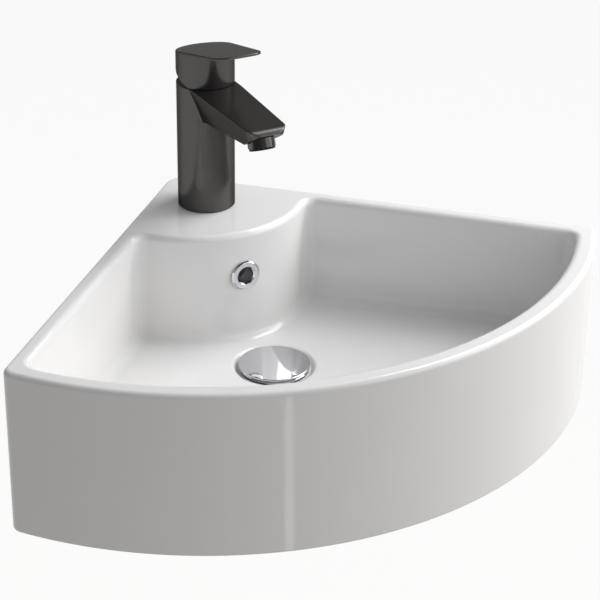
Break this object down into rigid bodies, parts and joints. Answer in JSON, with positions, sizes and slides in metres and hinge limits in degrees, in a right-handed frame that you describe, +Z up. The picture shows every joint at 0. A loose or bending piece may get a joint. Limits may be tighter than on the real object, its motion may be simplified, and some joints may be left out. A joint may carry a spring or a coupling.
{
  "type": "corner basin",
  "caption": "Wall-hung quarter-round corner basin of glazed china, with a single-lever tap on its corner deck, an overflow and a push-to-close waste.",
  "frame": {"origin": "where the line in which the two room walls meet crosses the level of the top of the rim", "axes": "+Z up, +Y from the round front towards the room corner, -Z along the waste tail, X across the basin with each wall at 45 degrees to Y"},
  "size_m": [0.5588, 0.4228, 0.351],
  "materials": {
    "glazed_china": "white glaze",
    "chrome_plastic": "bright chrome",
    "chrome_brass": "bright chrome",
    "black_rubber": "moulded",
    "white_plastic": "moulded",
    "bare_brass": "turned",
    "spring_steel": "drawn",
    "graphite_finish": "satin graphite coating on cast metal",
    "zinc_steel": "zinc plated",
    "black_plastic": "moulded",
    "alumina": "lapped"
  },
  "bodies": {
    "basin": {"basin": "glazed_china", "overflow_ring": "chrome_plastic", "waste_body": "chrome_brass", "upper_gasket": "black_rubber", "lower_gasket": "black_rubber", "slip_washer": "white_plastic", "back_nut": "bare_brass", "push_housing": "bare_brass", "push_spring": "spring_steel", "tap_body": "graphite_finish", "tap_base_seal": "black_rubber", "clamp_rubber": "black_rubber", "clamp_plate": "zinc_steel", "tap_stud": "bare_brass", "stud_nut": "bare_brass", "aerator_housing": "graphite_finish", "aerator_insert": "black_plastic", "aerator_seal": "black_rubber", "cartridge_seals": "black_rubber", "cartridge_base": "white_plastic", "cartridge_housing": "white_plastic", "fixed_disc": "alumina", "cartridge_nut": "bare_brass", "cover_ring": "black_plastic"},
    "waste_plug": {"waste_cap": "chrome_brass", "plunger": "bare_brass", "cap_seal": "black_rubber"},
    "lever_swivel": {"rotor": "white_plastic", "pivot_pin": "spring_steel"},
    "lever": {"handle": "graphite_finish", "spindle": "bare_brass", "grub_screw": "zinc_steel", "screw_plug": "black_plastic"},
    "mixing_disc": {"moving_disc": "alumina"}
  },
  "joints": [
    {"name": "lever_swivel", "type": "hinge", "parent": "basin", "child": "lever_swivel", "pos_m": [0, -0.0727, 0.111], "axis": [0, 0, 1], "range_deg": [-45, 45]},
    {"name": "lever_lift", "type": "hinge", "parent": "lever_swivel", "child": "lever", "pos_m": [0, -0.0727, 0.111], "axis": [-1, 0, 0], "range_deg": [0, 25]},
    {"name": "disc_slide", "type": "slide", "parent": "lever_swivel", "child": "mixing_disc", "axis": [0, -1, 0], "range_m": [0, 0.00423]},
    {"name": "cap_slide", "type": "slide", "parent": "basin", "child": "waste_plug", "axis": [0, 0, 1], "range_m": [0, 0.007], "deforming": ["push_spring"]}
  ],
  "couplings": [
    {"joint": "disc_slide", "follows": "lever_lift", "m_per_rad": 0.009686}
  ]
}
